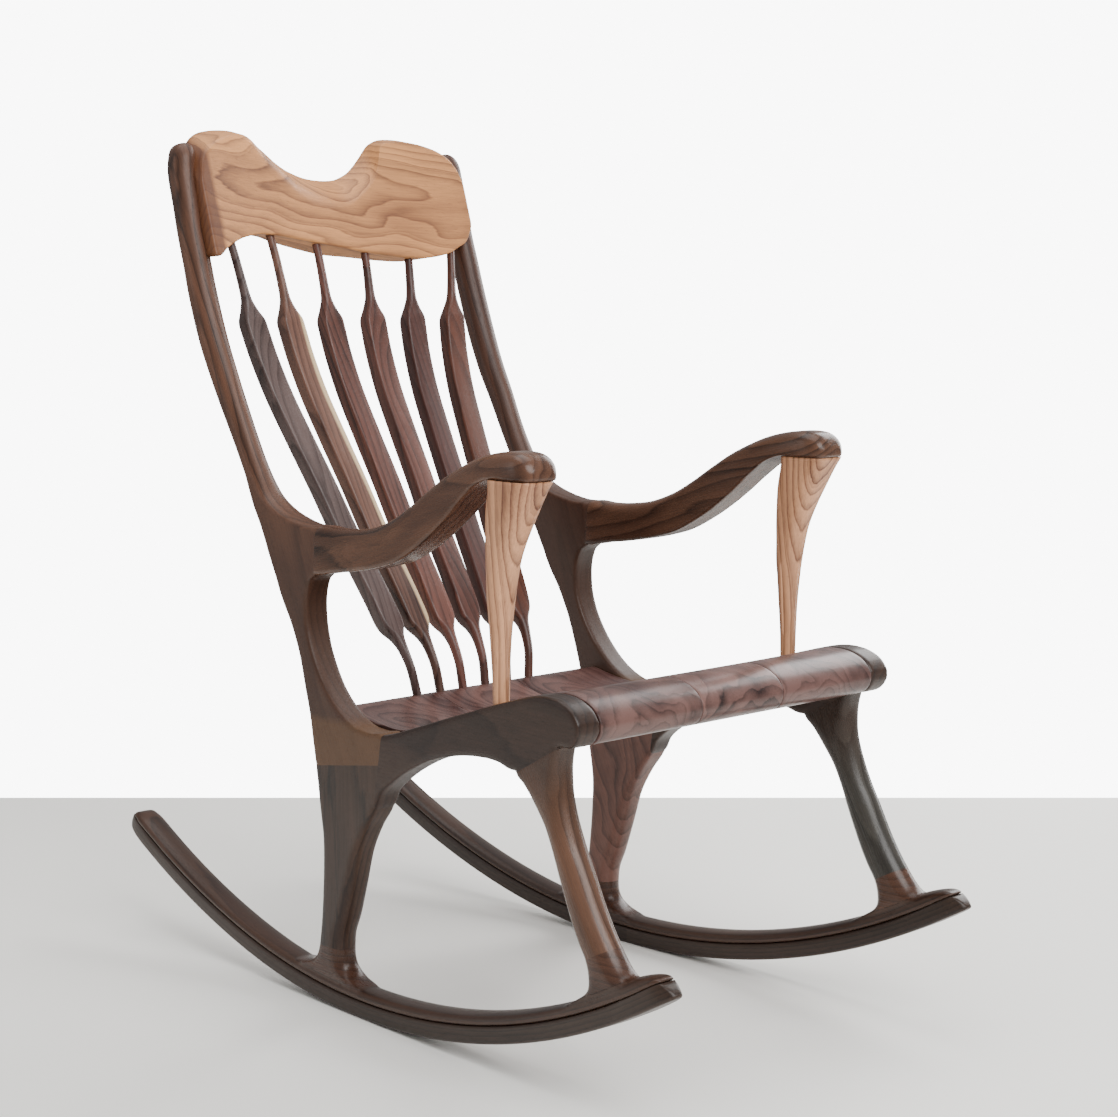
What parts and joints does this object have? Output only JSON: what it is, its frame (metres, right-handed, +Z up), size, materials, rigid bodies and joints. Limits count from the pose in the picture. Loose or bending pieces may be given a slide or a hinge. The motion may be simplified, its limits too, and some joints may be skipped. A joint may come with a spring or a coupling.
{
  "type": "rocking chair",
  "caption": "Sculpted walnut rocking chair with a scooped crest rail, flowing arms, shaped back spindles, a dished seat and long laminated rockers.",
  "frame": {"origin": "on the floor, under the middle of the chair's length and width", "axes": "+Z up, +Y towards the back of the chair, +X towards the sitter's left"},
  "size_m": [0.5604, 1.116, 1.1277],
  "materials": {
    "crest_walnut": "oiled satin",
    "side_walnut": "oiled satin",
    "support_walnut": "oiled satin",
    "seat_walnut": "oiled satin",
    "spindle_walnut": "oiled satin",
    "rocker_walnut": "oiled satin",
    "dowel": "plain"
  },
  "bodies": {
    "root": {"back_post_left": "side_walnut", "rear_leg_left": "side_walnut", "seat_rail_left": "side_walnut", "arm_left": "side_walnut", "front_leg_left": "support_walnut", "arm_post_left": "support_walnut", "rear_leg_block_left": "rocker_walnut", "front_leg_block_left": "rocker_walnut", "rocker_upper_left": "rocker_walnut", "rocker_lower_left": "rocker_walnut", "arm_dowel_left": "dowel", "arm_cap_dowel_left": "dowel", "front_leg_dowel_left": "dowel", "rear_leg_dowel_left": "dowel", "seat_rail_dowel_left": "dowel", "front_block_dowel_left": "dowel", "rear_block_dowel_left": "dowel", "crest_dowel_left_1": "dowel", "crest_dowel_left_2": "dowel", "back_post_right": "side_walnut", "rear_leg_right": "side_walnut", "seat_rail_right": "side_walnut", "arm_right": "side_walnut", "front_leg_right": "support_walnut", "arm_post_right": "support_walnut", "rear_leg_block_right": "rocker_walnut", "front_leg_block_right": "rocker_walnut", "rocker_upper_right": "rocker_walnut", "rocker_lower_right": "rocker_walnut", "arm_dowel_right": "dowel", "arm_cap_dowel_right": "dowel", "front_leg_dowel_right": "dowel", "rear_leg_dowel_right": "dowel", "seat_rail_dowel_right": "dowel", "front_block_dowel_right": "dowel", "rear_block_dowel_right": "dowel", "crest_dowel_right_1": "dowel", "crest_dowel_right_2": "dowel", "spindle_1": "spindle_walnut", "spindle_2": "spindle_walnut", "spindle_3": "spindle_walnut", "spindle_4": "spindle_walnut", "spindle_5": "spindle_walnut", "spindle_6": "spindle_walnut", "crest_rail": "crest_walnut", "seat_board_right": "seat_walnut", "seat_board_middle": "seat_walnut", "seat_board_left": "seat_walnut"}
  },
  "joints": []
}
